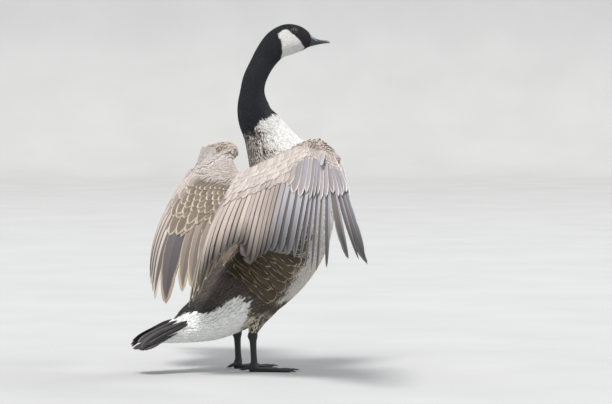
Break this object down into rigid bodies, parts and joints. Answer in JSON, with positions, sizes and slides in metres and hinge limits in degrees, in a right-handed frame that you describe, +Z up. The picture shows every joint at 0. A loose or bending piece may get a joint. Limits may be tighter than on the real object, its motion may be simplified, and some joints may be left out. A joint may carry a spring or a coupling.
{
  "type": "canada goose",
  "caption": "Life-size still model of an adult goose standing upright, neck raised and wings half spread behind the body.",
  "frame": {"origin": "on the floor under the middle of the model's bounding box", "axes": "+X the way the bird faces, +Y towards its left wing, +Z up"},
  "size_m": [0.4314, 1.0496, 0.6917],
  "materials": {
    "brown_feathers": "soft matt plumage, brown-grey with pale feather edges",
    "pale_feathers": "soft matt plumage, whitish breast and belly with browner flanks",
    "dark_feathers": "soft black plumage with white cheeks and white tail coverts",
    "bill": "black horn with a low sheen",
    "leg_skin": "scaly blackish skin",
    "eye": "wet dark brown"
  },
  "bodies": {
    "root": {"bill_lower": "bill", "bill_upper": "bill", "eye_left": "eye", "eye_right": "eye", "foot_left": "leg_skin", "foot_right": "leg_skin", "head": "dark_feathers", "neck_lower": "dark_feathers", "neck_middle": "dark_feathers", "neck_upper": "dark_feathers", "shank_left": "leg_skin", "shank_right": "leg_skin", "tail": "dark_feathers", "thigh_left": "brown_feathers", "thigh_right": "brown_feathers", "torso": "pale_feathers", "wing_left_alula": "brown_feathers", "wing_left_forearm": "brown_feathers", "wing_left_hand": "brown_feathers", "wing_left_upper_arm": "brown_feathers", "wing_right_alula": "brown_feathers", "wing_right_forearm": "brown_feathers", "wing_right_hand": "brown_feathers", "wing_right_upper_arm": "brown_feathers"}
  },
  "joints": []
}
